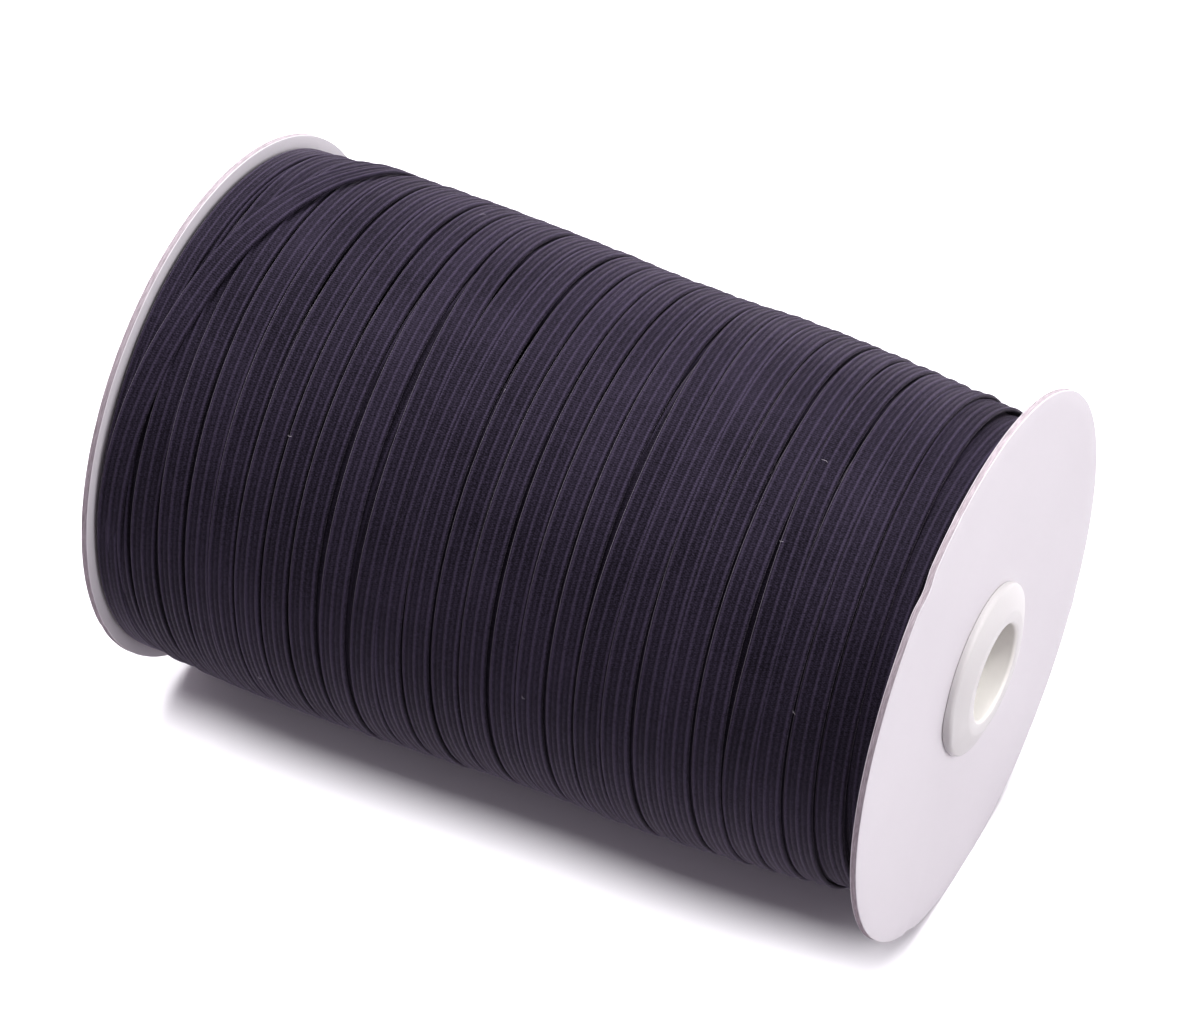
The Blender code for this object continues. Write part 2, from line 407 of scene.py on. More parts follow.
def make_elastic_material(name, painted_shade_factor):
    material, graph, shader = new_material(name)
    along = graph.add("ShaderNodeAttribute", {"attribute_name": "along"}, out="Fac")
    across = graph.add("ShaderNodeAttribute", {"attribute_name": "across"}, out="Fac")
    rib_place = ((across + 1) * (RIB_COUNT / 2)).limited(EDGE_MARGIN, RIB_COUNT - EDGE_MARGIN)
    in_rib = rib_place % 1
    is_high = (rib_place.math("FLOOR") % 2) < 0.5
    stitch = (along / STITCH_LENGTH + abs(in_rib - 0.5) * STITCH_SLANT) % 1
    stitch_height = (stitch * math.pi).sine()
    round_rib = (in_rib * math.pi).sine()
    place = graph.add("ShaderNodeTexCoord", out="Object")
    fibres = graph.noise(place, scale=2800, detail=3, roughness=0.7)
    patches = graph.noise(place, scale=55, detail=2, roughness=0.5)
    fine = stitch_height * STITCH_SHADE + (fibres - 0.5) * FIBRE_SHADE
    weave = fine + (patches - 0.5) * PATCH_SHADE - WEAVE_MIDDLE
    fibre_base, fibre_share = CREST_FIBRES
    # Painted highlight: the crests of the ribs are painted lighter.
    crest_highlight = (round_rib**CREST_SHARPNESS) * (CREST_PAINTED_HIGHLIGHT + is_high * HIGH_CREST_PAINTED_HIGHLIGHT)
    lit_crest = crest_highlight * (fibre_base + fibres * fibre_share)
    shade = BASE_SHADE + lit_crest + weave * WEAVE_SHADE + waves(along / TURN_LENGTH, TURN_SHADE)
    # Both colours are darkened by the given factor, a painted shade for a piece that lies in shade.
    dark = [v * painted_shade_factor for v in ELASTIC_DARK]
    light = [v * painted_shade_factor for v in ELASTIC_LIGHT]
    relief = stitch_height * round_rib * STITCH_RELIEF + fibres
    graph.plug(
        shader,
        {
            "Base Color": graph.mix_colors(shade.limited(0, 1), dark, light),
            "Roughness": MEAN_ROUGHNESS + (fibres - 0.5) * ROUGHNESS_SPREAD,
            "Normal": graph.bump(strength=0.7, distance=0.15 * MM, height=relief),
            "Specular IOR Level": 0.12,
            "Sheen Weight": 0.46,
            "Sheen Roughness": 0.3,
            "Sheen Tint": (0.94, 0.86, 1.0, 1),
        },
    )
    return material


# Painted shade: the layer below gets the elastic's finish darkened by this factor, for the shade in the
# gaps.
LOWER_PAINTED_SHADE = 0.9
elastic_material = make_elastic_material("elastic_braid", 1.0)
shaded_lower_material = make_elastic_material("elastic_lower_layer", LOWER_PAINTED_SHADE)
print("elastic finishes:", elastic_material.name, shaded_lower_material.name)

# %% [markdown]
# ## The wound elastic
#
# The band is wound in a helix whose turns lie side by side. It is a main piece whose shape
# follows a rule, so a Geometry Nodes tree makes it: a grid whose rows run along the band and
# whose columns run across its ribs, bent into place by formulas. A curve could be bevelled
# instead, but a grid lets each turn tilt where it rides over its neighbour.
#
# The winding isn't even. It is fuller at the left, and in a few patches the turns swing
# sideways, which crowds them on one side and opens a gap on the other. In the right half the
# turns lie closer together. The last turn at the right disc has slipped a little deeper.

# %% Sizes of the winding
TURN_PITCH = 5.93 * MM
BAND_WIDTH = 5.62 * MM
BAND_THICKNESS = 0.85 * MM
RIB_DEPTH = 0.16 * MM
HIGH_RIB_RISE = 0.15 * MM
BAND_CROWN = 0.12 * MM
FIRST_TURN = -0.45
LAST_TURN = 26.45
POINTS_PER_RIB = 4
SHINGLE_TILT = 0.10 * MM
CROWDED_TILT = 1.1 * MM
MOST_CROWDING = 0.6
CROWDING_PROBE = 0.8 * MM
TUCKED_WITHIN = 0.3
# Between these two stations (mm) the last turn sinks.
SINKS_BETWEEN = (73.4, 75.4)
LAST_TURN_SINKS = 1.2 * MM
# Between these two stations (mm) the band widens by this share.
FULLER_BETWEEN = (0, 40)
FULLER_WIDTH = 0.04
# The higher the power, the nearer to the discs the turns stay free to swing and to wobble.
SWING_END_POWER = 10
WOBBLE_END_POWER = 14
print("turns:", LAST_TURN - FIRST_TURN)
print("gap between them, mm:", round((TURN_PITCH - BAND_WIDTH) / MM, 2))

# %% Shape of the winding
# Millimetres from the middle of the reel, then the radius of the turns' crests in millimetres.
WINDING_RADII = (
    (-80.1, 51.5),
    (-70.0, 52.6),
    (-58.0, 53.3),
    (-46.0, 53.4),
    (-30.0, 53.0),
    (-12.0, 52.2),
    (0.0, 51.5),
    (14.0, 51.1),
    (28.0, 51.2),
    (42.0, 50.6),
    (56.0, 49.5),
    (66.0, 48.6),
    (73.0, 47.3),
    (80.1, 45.6),
)

# Patches where the turns swing sideways: the middle along the reel (mm), the middle about the
# axis (degrees from the top towards the front), half length, half angle, and the swing (mm).
SWINGS = (
    (-23.2, 45, 10.0, 80, 2.0),
    (25.9, 20, 9.0, 60, 1.3),
    (55.3, 52, 7.0, 46, 1.1),
    (-62.0, 105, 17.0, 90, 1.4),
    (32.0, -40, 34.0, 75, -1.0),
    (-72.0, 32, 9.0, 58, 1.6),
    (69.5, -20, 9.0, 75, -1.9),
)
# A curve node reads values from 0 to 1, so radii are stored as shares of this stretch (mm).
RADIUS_LOW = 40
RADIUS_SPAN = 20


def crest_radius(graph, station):
    """The radius of the crests at a station along the reel, both in metres, from the table."""
    half_mm = WINDING_HALF / MM
    points = [(s / half_mm / 2 + 0.5, (r - RADIUS_LOW) / RADIUS_SPAN) for s, r in WINDING_RADII]
    share = (station / (2 * WINDING_HALF) + 0.5).limited(0, 1)
    read = graph.add("ShaderNodeFloatCurve", {"curve": points}, {"Value": share})
    return (read * RADIUS_SPAN + RADIUS_LOW) * MM


def bell(distance):
    """1 at distance 0, 0 at 1 and beyond on both sides, eased between."""
    return (distance.limited(-1, 1) * math.pi).cosine() * 0.5 + 0.5


def swing_at(station, degrees):
    """The sideways swing of the turns at a place, in metres. It dies out at both discs."""
    total = None
    for middle, middle_angle, half_length, half_angle, swing in SWINGS:
        along = bell((station / MM - middle) / half_length)
        turned = (degrees - (middle_angle - 180)) % 360 - 180
        around = bell(turned / half_angle)
        patch = along * around * (swing * MM)
        total = patch if total is None else total + patch
    return total * (1 - abs(station / WINDING_HALF) ** SWING_END_POWER)


radii = [radius for _, radius in WINDING_RADII]
print("fullest and leanest crests, mm:", max(radii), min(radii))

# %% The section of the band
# The flat back is this share of the band's width, and the edges lie this much lower.
BACK_WIDTH = 0.93
EDGE_DROP = BAND_THICKNESS * 0.2
EDGE_COLUMNS_FROM = 0.999


def band_section(column, ribs, relief):
    """Place across (-1 to 1) and height under the tallest ribs for each column of the grid.

    The top is a row of round ribs. Every other rib stands a little higher. Two more columns make
    the flat back, and the last one meets the first.
    """
    top_last = ribs * POINTS_PER_RIB
    rib = (column / POINTS_PER_RIB).math("FLOOR")
    is_top = column < top_last + 0.5
    right_back = (column > top_last + 0.5) * (column < top_last + 1.5)
    left_back = (column > top_last + 1.5) * (column < top_last + 2.5)
    closing = column > top_last + 2.5
    arch = ((column / POINTS_PER_RIB % 1) * math.pi).sine() * is_top
    top = (column / top_last * 2 - 1) * is_top
    across = top + right_back * BACK_WIDTH - left_back * BACK_WIDTH - closing
    is_high = (rib % 2) < 0.5
    sag = across * across * BAND_CROWN
    edge = (abs(across) > EDGE_COLUMNS_FROM) * EDGE_DROP
    ribbing = (HIGH_RIB_RISE + RIB_DEPTH) - arch * (is_high * HIGH_RIB_RISE + RIB_DEPTH)
    back = right_back + left_back
    return across, (sag + edge + ribbing * relief) * (back - 1) - back * BAND_THICKNESS


print("columns across the band:", RIB_COUNT * POINTS_PER_RIB + 4)

# %% Steps that every band's tree shares
CLOSING_DISTANCE = 0.002 * MM


def band_tree(name, inputs):
    """A tree with named inputs, and the wire of its first input."""
    tree = bpy.data.node_groups.new(name, "GeometryNodeTree")
    tree.interface.new_socket("Geometry", in_out="OUTPUT", socket_type="NodeSocketGeometry")
    for title, kind, value in inputs:
        socket = tree.interface.new_socket(title, in_out="INPUT", socket_type=kind)
        if value is not None:
            socket.default_value = value
    graph = Graph(tree)
    return tree, graph, graph.add("NodeGroupInput")


def grid_of_band(graph, rows, ribs, relief):
    """A grid, how far along each of its points lies (0 to 1), and its places in the section.

    The first and the last row are each drawn together into a point, which closes the band's end.
    """
    columns = ribs * POINTS_PER_RIB + 4
    sizes = {"Vertices X": rows, "Vertices Y": columns}
    grid = graph.add("GeometryNodeMeshGrid", None, sizes, out="Mesh")
    parts = graph.add("ShaderNodeSeparateXYZ", None, {0: grid.also("UV Map")}, out="X")
    row = (parts * (rows - 1)).math("ROUND")
    column = (parts.also("Y") * (columns - 1)).math("ROUND")
    across, height = band_section(column, ribs, relief)
    share = ((row - 1) / (rows - 3)).limited(0, 1)
    is_end = (row < 0.5) + (row > rows - 1.5)
    across_kept = across * (1 - is_end)
    height_kept = height * (1 - is_end) - is_end * (BAND_THICKNESS / 2)
    return grid, share, across, across_kept, height_kept


def on_reel(graph, station, turn_angle, radius):
    """A point from its station, its angle in radians and its radius about the axis."""
    y = radius * turn_angle.sine() * -1
    z = radius * turn_angle.cosine() + AXIS_HEIGHT
    return graph.add("ShaderNodeCombineXYZ", None, {"X": station, "Y": y, "Z": z})


def finish_band(graph, grid, place, along, across, material):
    """Moves the grid's points into place, keeps both attributes, and closes the band."""
    moved = graph.add("GeometryNodeSetPosition", None, {"Geometry": grid, "Position": place})
    for name, value in (("along", along), ("across", across)):
        moved = graph.add(
            "GeometryNodeStoreNamedAttribute",
            {"data_type": "FLOAT", "domain": "POINT"},
            {"Geometry": moved, "Name": name, "Value": value},
        )
    merged = {"Geometry": moved, "Distance": CLOSING_DISTANCE}
    closed = graph.add("GeometryNodeMergeByDistance", None, merged)
    smooth = graph.add("GeometryNodeSetShadeSmooth", None, {"Geometry": closed})
    real = graph.add("GeometryNodeRealizeInstances", None, {"Geometry": smooth})
    done = graph.add("GeometryNodeSetMaterial", None, {"Geometry": real, "Material": material})
    graph.add("NodeGroupOutput", None, {"Geometry": done})


print("points closer than this are merged, mm:", CLOSING_DISTANCE / MM)


# %% The winding's node tree
def winding_tree():
    """Winds a stretch of the band between two turn numbers."""
    tree, graph, given = band_tree(
        "wound_band",
        (
            ("First turn", "NodeSocketFloat", FIRST_TURN),
            ("Last turn", "NodeSocketFloat", LAST_TURN),
            ("Rows", "NodeSocketInt", 100),
            ("Ribs", "NodeSocketInt", RIB_COUNT),
            ("Width", "NodeSocketFloat", BAND_WIDTH),
            ("Hand", "NodeSocketFloat", 1.0),
            ("Depth below crests", "NodeSocketFloat", 0.0),
            ("Swing share", "NodeSocketFloat", 1.0),
            ("Material", "NodeSocketMaterial", None),
        ),
    )
    parts = grid_of_band(graph, given.also("Rows"), given.also("Ribs"), 1.0)
    grid, share, across, across_kept, height_kept = parts
    turn = given + share * (given.also("Last turn") - given)
    degrees = turn * given.also("Hand") * 360
    free = (turn + 0.5) * TURN_PITCH - WINDING_HALF
    most = WINDING_HALF - TURN_PITCH / 2
    center = free.limited(-most, most)
    tucked = (abs(free - center) / TURN_PITCH).smooth(0, TUCKED_WITHIN) * BAND_THICKNESS
    sunk = (center / MM).smooth(*SINKS_BETWEEN) * LAST_TURN_SINKS
    kept = given.also("Swing share")
    before = swing_at(center - CROWDING_PROBE, degrees)
    after = swing_at(center + CROWDING_PROBE, degrees)
    crowding = (before - after) / (2 * CROWDING_PROBE)
    lean = waves(turn, LEAN) * MM
    tilt = (crowding * kept).limited(0, MOST_CROWDING) * CROWDED_TILT + lean - SHINGLE_TILT
    end_room = 1 - abs(center / most) ** WOBBLE_END_POWER
    middle = center + swing_at(center, degrees) * kept + waves(turn, WOBBLE) * (end_room * MM)
    fuller = (center / MM).smooth(*FULLER_BETWEEN) * FULLER_WIDTH + 1
    station = middle + across_kept * (given.also("Width") * fuller / 2)
    crests = crest_radius(graph, middle) - given.also("Depth below crests")
    radius = crests - tucked - sunk + height_kept + tilt * across_kept
    place = on_reel(graph, station, degrees * (math.pi / 180), radius)
    finish_band(graph, grid, place, turn * TURN_LENGTH, across, given.also("Material"))
    return tree


wound_band = winding_tree()
print("nodes in the winding's tree:", len(wound_band.nodes))

# %% [markdown]
# A tree by itself makes nothing. It is put on an empty mesh as a modifier, its inputs are set
# by their sockets' identifiers, and the evaluated result is copied to a plain mesh. The helper
# object then goes, so no modifier is left.


# %% Turn a tree into plain meshes
def face_outwards(mesh):
    """Turns all faces round if the closed mesh is inside out."""
    work = bmesh.new()
    work.from_mesh(mesh)
    if work.calc_volume(signed=True) < 0:
        bmesh.ops.reverse_faces(work, faces=work.faces[:])
    work.to_mesh(mesh)
    work.free()


def mesh_from_tree(name, tree, values):
    """Runs a tree on an empty mesh with the given inputs, and keeps the result as a plain mesh."""
    maker = add_object(name + "_maker", bpy.data.meshes.new(name + "_maker"))
    modifier = maker.modifiers.new("make", "NODES")
    modifier.node_group = tree
    for item in tree.interface.items_tree:
        if item.item_type == "SOCKET" and item.in_out == "INPUT" and item.name in values:
            modifier[item.identifier] = values[item.name]
    bpy.context.view_layer.update()
    evaluated = maker.evaluated_get(bpy.context.evaluated_depsgraph_get())
    mesh = bpy.data.meshes.new_from_object(evaluated)
    bpy.data.objects.remove(maker)
    mesh.name = name
    face_outwards(mesh)
    mesh.calc_loop_triangles()
    print(name, "triangles:", len(mesh.loop_triangles))
    return add_object(name, mesh)


ROWS_PER_TURN = 132
SPLIT_TURN = 12.5
elastic_pieces = []
for piece_name, first, last in (
    ("elastic_left_turns", FIRST_TURN, SPLIT_TURN),
    ("elastic_right_turns", SPLIT_TURN, LAST_TURN),
):
    turns = {
        "First turn": first,
        "Last turn": last,
        "Rows": round((last - first) * ROWS_PER_TURN),
        "Material": elastic_material,
    }
    elastic_pieces.append(mesh_from_tree(piece_name, wound_band, turns))

# %% [markdown]
# Under the outer turns lies another layer, wound the other way. It shows only as dark bands in
# the gaps, so it has fewer ribs and fewer rows. The same tree makes it with other inputs. Its
# finish is the elastic's, made a little darker as a painted shade for the shade in the gaps.

# %% The layer below
LOWER_DEPTH = 0.95 * MM
LOWER_ROWS_PER_TURN = 72
LOWER_RIBS = 4
LOWER_WIDTH = TURN_PITCH * 0.99
lower_turns = {
    "First turn": FIRST_TURN,
    "Last turn": LAST_TURN,
    "Rows": round((LAST_TURN - FIRST_TURN) * LOWER_ROWS_PER_TURN),
    "Ribs": LOWER_RIBS,
    "Width": LOWER_WIDTH,
    "Hand": -1.0,
    "Depth below crests": LOWER_DEPTH,
    "Swing share": 0.0,
    "Material": shaded_lower_material,
}
elastic_pieces.append(mesh_from_tree("elastic_lower_layer", wound_band, lower_turns))

# %% [markdown]
# ## Strands with a route of their own
#
# Near the left disc one turn runs slantwise over the others, as the winder jumps back to the
# disc. A smoother turn lies against the left disc, and one more closes the winding at the
# right. Each has the band's section, and its route is a short table. The band is turned to lie
# square to that route, and both its ends dive under the other turns.

# %% Routes
# Angle (degrees), distance of the middle from the left disc (mm), height over the turns (mm).
CROSSING_ROUTE = (
    (-80, 19.8, -1.2),
    (-60, 20.2, -0.4),
    (-45, 20.1, 0.2),
    (-28, 18.9, 1.1),
    (-15, 16.3, 1.35),
    (0, 12.9, 1.4),
    (15, 9.9, 1.35),
    (30, 7.7, 1.2),
    (45, 5.7, 1.0),
    (60, 4.3, 0.85),
    (76, 3.5, 0.6),
    (95, 3.2, 0.1),
    (115, 3.1, -0.5),
    (140, 3.1, -1.2),
)
SMOOTH_ROUTE = (
    (-95, 2.9, -1.1),
    (-70, 2.9, -0.2),
    (-40, 3.0, 0.35),
    (-10, 3.1, 0.45),
    (20, 2.9, 0.4),
    (45, 2.8, 0.1),
    (62, 2.8, -0.1),
    (80, 2.9, 0.4),
    (110, 2.9, 0.45),
    (140, 2.9, 0.2),
    (165, 2.9, -0.5),
    (185, 2.9, -1.2),
)
RIGHT_ROUTE = (
    (-92, 154.6, -1.8),
    (-68, 154.6, -0.9),
    (-47, 154.6, -0.6),
    (-15, 154.9, -0.4),
    (15, 155.3, -0.2),
    (45, 156.1, 0.1),
    (70, 156.9, 0.2),
    (90, 157.3, -0.5),
    (110, 157.5, -1.3),
)
# Name, route, the band's width, and the share of its ribs' full depth.
STRANDS = (
    ("elastic_crossing_turn", CROSSING_ROUTE, BAND_WIDTH, 1.0),
    ("elastic_smooth_turn", SMOOTH_ROUTE, 4.6 * MM, 0.15),
    ("elastic_last_turn", RIGHT_ROUTE, 5.3 * MM, 0.7),
)
print("strands:", [(name, route[0][0], route[-1][0]) for name, route, _, _ in STRANDS])

# %% The strands
STRAND_ROWS = 200
SLOPE_STEP = 0.002
# Heights are stored in the curve node as shares of this stretch (mm).
HEIGHT_LOW = -2
HEIGHT_SPAN = 4


def strand_tree(name, route):
    """The band along a table's route instead of the helix."""
    tree, graph, given = band_tree(
        name,
        (
            ("Rows", "NodeSocketInt", STRAND_ROWS),
            ("Ribs", "NodeSocketInt", RIB_COUNT),
            ("Relief", "NodeSocketFloat", 1.0),
            ("Width", "NodeSocketFloat", BAND_WIDTH),
            ("Material", "NodeSocketMaterial", None),
        ),
    )
    parts = grid_of_band(graph, given, given.also("Ribs"), given.also("Relief"))
    grid, share, across, across_kept, height_kept = parts
    first = route[0][0]
    span = route[-1][0] - first
    low = min(d for _, d, _ in route)
    reach = max(d for _, d, _ in route) - low
    distances = [((a - first) / span, (d - low) / reach) for a, d, _ in route]
    heights = [((a - first) / span, (h - HEIGHT_LOW) / HEIGHT_SPAN) for a, _, h in route]
    route_length = math.radians(span) * DISC_RADIUS

    def read_curve(points, place):
        return graph.add("ShaderNodeFloatCurve", {"curve": points}, {"Value": place})

    def distance_at(place):
        return (read_curve(distances, place.limited(0, 1)) * reach + low) * MM

    lift = (read_curve(heights, share) * HEIGHT_SPAN + HEIGHT_LOW) * MM
    middle = distance_at(share) - DISC_INNER_FACE
    ahead = distance_at(share + SLOPE_STEP)
    behind = distance_at(share - SLOPE_STEP)
    heading = ((ahead - behind) / (2 * SLOPE_STEP * route_length)).math("ARCTANGENT")
    radius = crest_radius(graph, middle) + lift + height_kept
    offset = across_kept * (given.also("Width") / 2)
    turn_angle = (share * span + first) * (math.pi / 180) - offset * heading.sine() / radius
    place = on_reel(graph, middle + offset * heading.cosine(), turn_angle, radius)
    finish_band(graph, grid, place, share * route_length, across, given.also("Material"))
    return tree


for strand_name, route, width, relief in STRANDS:
    tree = strand_tree(strand_name + "_tree", route)
    strand = {"Width": width, "Relief": relief, "Material": elastic_material}
    elastic_pieces.append(mesh_from_tree(strand_name, tree, strand))

# %% [markdown]
# ## Lint
#
# A few pale specks of lint cling to the yarn. Each is a short curled fibre. Painted specks would
# have no body from the side, so each is a thin tube along a few points, laid on the crests of
# the turns. Its curl is random, from a fixed seed.

# %% Lint sizes
# Angle (degrees), station along the reel (mm), length (mm), direction (degrees).
LINT = (
    (-24, -35.8, 1.5, 20),
    (46, -43.5, 0.9, 70),
    (108, -45.9, 0.9, 10),
    (103, -78.4, 1.0, 95),
    (12, 51.8, 1.3, 5),
    (32, 52.2, 0.9, 120),
    (65, 63.4, 1.0, 80),
    (22, -8.0, 0.8, 40),
    (84, 12.5, 0.9, 160),
)
LINT_RADIUS = 0.045 * MM
LINT_TIP = 0.4
LINT_POINTS = 9
LINT_SIDES = 5
LINT_CURL = 0.75
LINT_LIFT = 0.10
LINT_ARCH = 0.30
LINT_COLOR = (0.55, 0.52, 0.56)
LINT_SEED = 7
print("specks of lint:", len(LINT))


# %% Lint tubes
def crest_at(station_mm):
    """The crests' radius in metres at a station in millimetres."""
    for (s0, r0), (s1, r1) in zip(WINDING_RADII, WINDING_RADII[1:]):
        if s0 <= station_mm <= s1:
            return (r0 + (r1 - r0) * (station_mm - s0) / (s1 - s0)) * MM
    return WINDING_RADII[-1][1] * MM


def tube(work, path, radius):
    """Adds a closed thin tube along a path of points."""
    rings = []
    last = len(path) - 1
    for index, point in enumerate(path):
        along = (path[min(last, index + 1)] - path[max(0, index - 1)]).normalized()
        side = along.orthogonal().normalized()
        upward = along.cross(side)
        size = radius * (LINT_TIP if index in (0, last) else 1)
        ring = []
        for corner in range(LINT_SIDES):
            turn = 2 * math.pi * corner / LINT_SIDES
            ring.append(work.verts.new(point + (side * math.cos(turn) + upward * math.sin(turn)) * size))
        rings.append(ring)
    for ring, following in zip(rings, rings[1:]):
        for corner in range(LINT_SIDES):
            beside = (corner + 1) % LINT_SIDES
            work.faces.new((ring[corner], ring[beside], following[beside], following[corner]))
    work.faces.new(rings[0][::-1])
    work.faces.new(rings[-1])


def make_lint():
    chance = random.Random(LINT_SEED)
    work = bmesh.new()
    for degrees, station, length, heading in LINT:
        path = []
        bearing = math.radians(heading)
        s = station * MM
        a = math.radians(degrees)
        for index in range(LINT_POINTS):
            lift = (LINT_LIFT + LINT_ARCH * math.sin(math.pi * index / (LINT_POINTS - 1))) * MM
            reach = crest_at(s / MM) + lift
            path.append(Vector((s, -reach * math.sin(a), AXIS_HEIGHT + reach * math.cos(a))))
            bearing += chance.uniform(-LINT_CURL, LINT_CURL)
            step = length * MM / (LINT_POINTS - 1)
            s += math.cos(bearing) * step
            a += math.sin(bearing) * step / reach
        tube(work, path, LINT_RADIUS)
    mesh = bpy.data.meshes.new("lint_specks")
    bmesh.ops.recalc_face_normals(work, faces=work.faces[:])
    work.to_mesh(mesh)
    work.free()
    material, graph, shader = new_material("pale_lint")
    graph.plug(shader, {"Base Color": (*LINT_COLOR, 1), "Roughness": 0.8})
    mesh.materials.append(material)
    return add_object("lint_specks", mesh)


elastic_pieces.append(make_lint())
for piece in elastic_pieces:
    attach(piece, "root")
    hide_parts("elastic_winding")
print("pieces of the elastic:", [piece.name for piece in elastic_pieces])

# %% [markdown]
# ## The card discs
#
# Each disc is punched from thick grey board with a thin white paper skin on both faces. The
# skins show as two pale lines along the brown-grey edge, and the rim has a few dents from
# handling. A flat cylinder would show one plain colour at its edge. Here a profile is turned
# about the axis, ring by ring, and the rim's points are pushed in where the dents are. Paper
# and board are two materials on one mesh.

# %% Card finishes
PAPER_COLOR = (0.79, 0.77, 0.79)
PAPER_DARKER = 0.975
BOARD_DARK = (0.37, 0.32, 0.345)
BOARD_LIGHT = (0.66, 0.60, 0.635)
PAPER_FIBRES = 0.25
PAPER_CLOUDS = 0.75
PAPER_CONTRAST = (0.3, 0.7)
# Board is rolled in plies, so its noise is squeezed along the reel's axis.
BOARD_SQUEEZE = (9, 1, 1)


def make_paper_material():
    material, graph, shader = new_material("white_card_face")
    place = graph.add("ShaderNodeTexCoord", out="Object")
    fibre = graph.noise(place, scale=900, detail=4, roughness=0.65)
    cloud = graph.noise(place, scale=26, detail=3, roughness=0.5)
    shade = (fibre * PAPER_FIBRES + cloud * PAPER_CLOUDS).smooth(*PAPER_CONTRAST)
    relief = fibre * 0.5 + cloud * 2
    darker = [v * PAPER_DARKER for v in PAPER_COLOR]
    graph.plug(
        shader,
        {
            "Base Color": graph.mix_colors(shade, darker, PAPER_COLOR),
            "Roughness": 0.5 + fibre * 0.12,
            "Normal": graph.bump(strength=0.25, distance=0.05 * MM, height=relief),
            "Specular IOR Level": 0.4,
        },
    )
    return material


def make_board_material():
    material, graph, shader = new_material("grey_board_edge")
    place = graph.add("ShaderNodeTexCoord", out="Object")
    squeezed = graph.add("ShaderNodeMapping", None, {"Vector": place, "Scale": BOARD_SQUEEZE})
    plies = graph.noise(squeezed, scale=420, detail=4, roughness=0.7)
    stops = {"stops": ((0.3, BOARD_DARK), (0.7, BOARD_LIGHT))}
    color = graph.add("ShaderNodeValToRGB", stops, {"Fac": plies})
    bump = graph.bump(strength=0.6, distance=0.12 * MM, height=plies)
    graph.plug(shader, {"Base Color": color, "Roughness": 0.85, "Normal": bump})
    return material


paper_material = make_paper_material()
board_material = make_board_material()
print("card finishes:", paper_material.name, board_material.name)

# %% A turned ring
SHARP_ANGLE = math.radians(40)


def dip(degrees, middle, half_width):
    """1 at the middle angle, 0 at half_width degrees from it and beyond, eased between."""
    near = max(0, 1 - abs(degrees - middle) / half_width)
    return near * near * (3 - 2 * near)


def turned_mesh(name, rings, steps, place, materials):
    """A closed ring-shaped mesh from the rings of its profile.

    place gives a point from a ring and an angle in degrees. Each ring's last value is the number
    of the material between it and the next ring. The last ring is joined to the first.
    """
    work = bmesh.new()
    angles = [360 * step / steps - 180 for step in range(steps)]
    points = [[work.verts.new(place(ring, degrees)) for degrees in angles] for ring in rings]
    for index, ring in enumerate(rings):
        here = points[index]
        following = points[(index + 1) % len(rings)]
        for step in range(steps):
            beside = (step + 1) % steps
            face = work.faces.new((here[step], here[beside], following[beside], following[step]))
            face.material_index = ring[-1]
            face.smooth = True
    bmesh.ops.recalc_face_normals(work, faces=work.faces[:])
    mesh = bpy.data.meshes.new(name)
    work.to_mesh(mesh)
    work.free()
    face_outwards(mesh)
    for material in materials:
        mesh.materials.append(material)
    mesh.set_sharp_from_angle(angle=SHARP_ANGLE)
    return mesh


print("edges sharper than this stay crisp, degrees:", round(math.degrees(SHARP_ANGLE)))

# %% Sizes of the card discs
DISC_STEPS = 288
DISC_THICKNESS = DISC_OUTER_FACE - DISC_INNER_FACE
SKIN = 0.16 * MM
BOARD_INSET = 0.10 * MM
CORNER = 0.07 * MM
HOLE_RADIUS = 11.5 * MM
FACE_RINGS = (0.35, 0.6, 0.8, 0.93)
# The higher the power, the nearer to the rim a dent stays.
DENT_POWER = 8
RIM_ROUGH = 0.06 * MM
RIM_ROUGH_SCALE = 9
PAPER = 0
BOARD = 1
# Dents in a rim: angle about the axis (degrees), half width (degrees), push in (mm), bend (mm).
RIGHT_DENTS = (
    (16.5, 1.6, 0.30, -0.15),
    (33.0, 5.0, 0.35, 0.30),
    (-118.0, 3.0, 0.20, 0.15),
    (150.0, 4.0, 0.25, -0.2),
)
LEFT_DENTS = (
    (112.0, 3.5, 0.35, 0.35),
    (-95.0, 4.0, 0.25, 0.2),
    (28.0, 2.5, 0.15, 0.1),
)
# The rim from the outer face to the inner one: drop from the disc's radius, depth, material.
RIM = (
    (CORNER * 1.6, 0, PAPER),
    (CORNER * 0.5, CORNER * 0.35, PAPER),
    (0, CORNER, PAPER),
    (0, SKIN, BOARD),
    (BOARD_INSET, SKIN + CORNER, BOARD),
    (BOARD_INSET * 0.6, DISC_THICKNESS / 2, BOARD),
    (BOARD_INSET, DISC_THICKNESS - SKIN - CORNER, BOARD),
    (0, DISC_THICKNESS - SKIN, PAPER),
    (0, DISC_THICKNESS - CORNER, PAPER),
    (CORNER * 0.5, DISC_THICKNESS - CORNER * 0.35, PAPER),
    (CORNER * 1.6, DISC_THICKNESS, PAPER),
)
print("dents in the two rims:", len(RIGHT_DENTS), len(LEFT_DENTS))


# %% Card discs
def disc_rings():
    """The disc's rings: radius, depth from the outer face, share of the dents, material."""
    reach = DISC_RADIUS - HOLE_RADIUS
    outer = [(HOLE_RADIUS + reach * share, 0, share**DENT_POWER, PAPER) for share in FACE_RINGS]
    rim = [(DISC_RADIUS - drop, depth, 1, material) for drop, depth, material in RIM]
    inner = [(radius, DISC_THICKNESS, share, PAPER) for radius, _, share, _ in reversed(outer)]
    first = (HOLE_RADIUS, 0, 0, PAPER)
    last = (HOLE_RADIUS, DISC_THICKNESS, 0, BOARD)
    return [first, *outer, *rim, *inner, last]


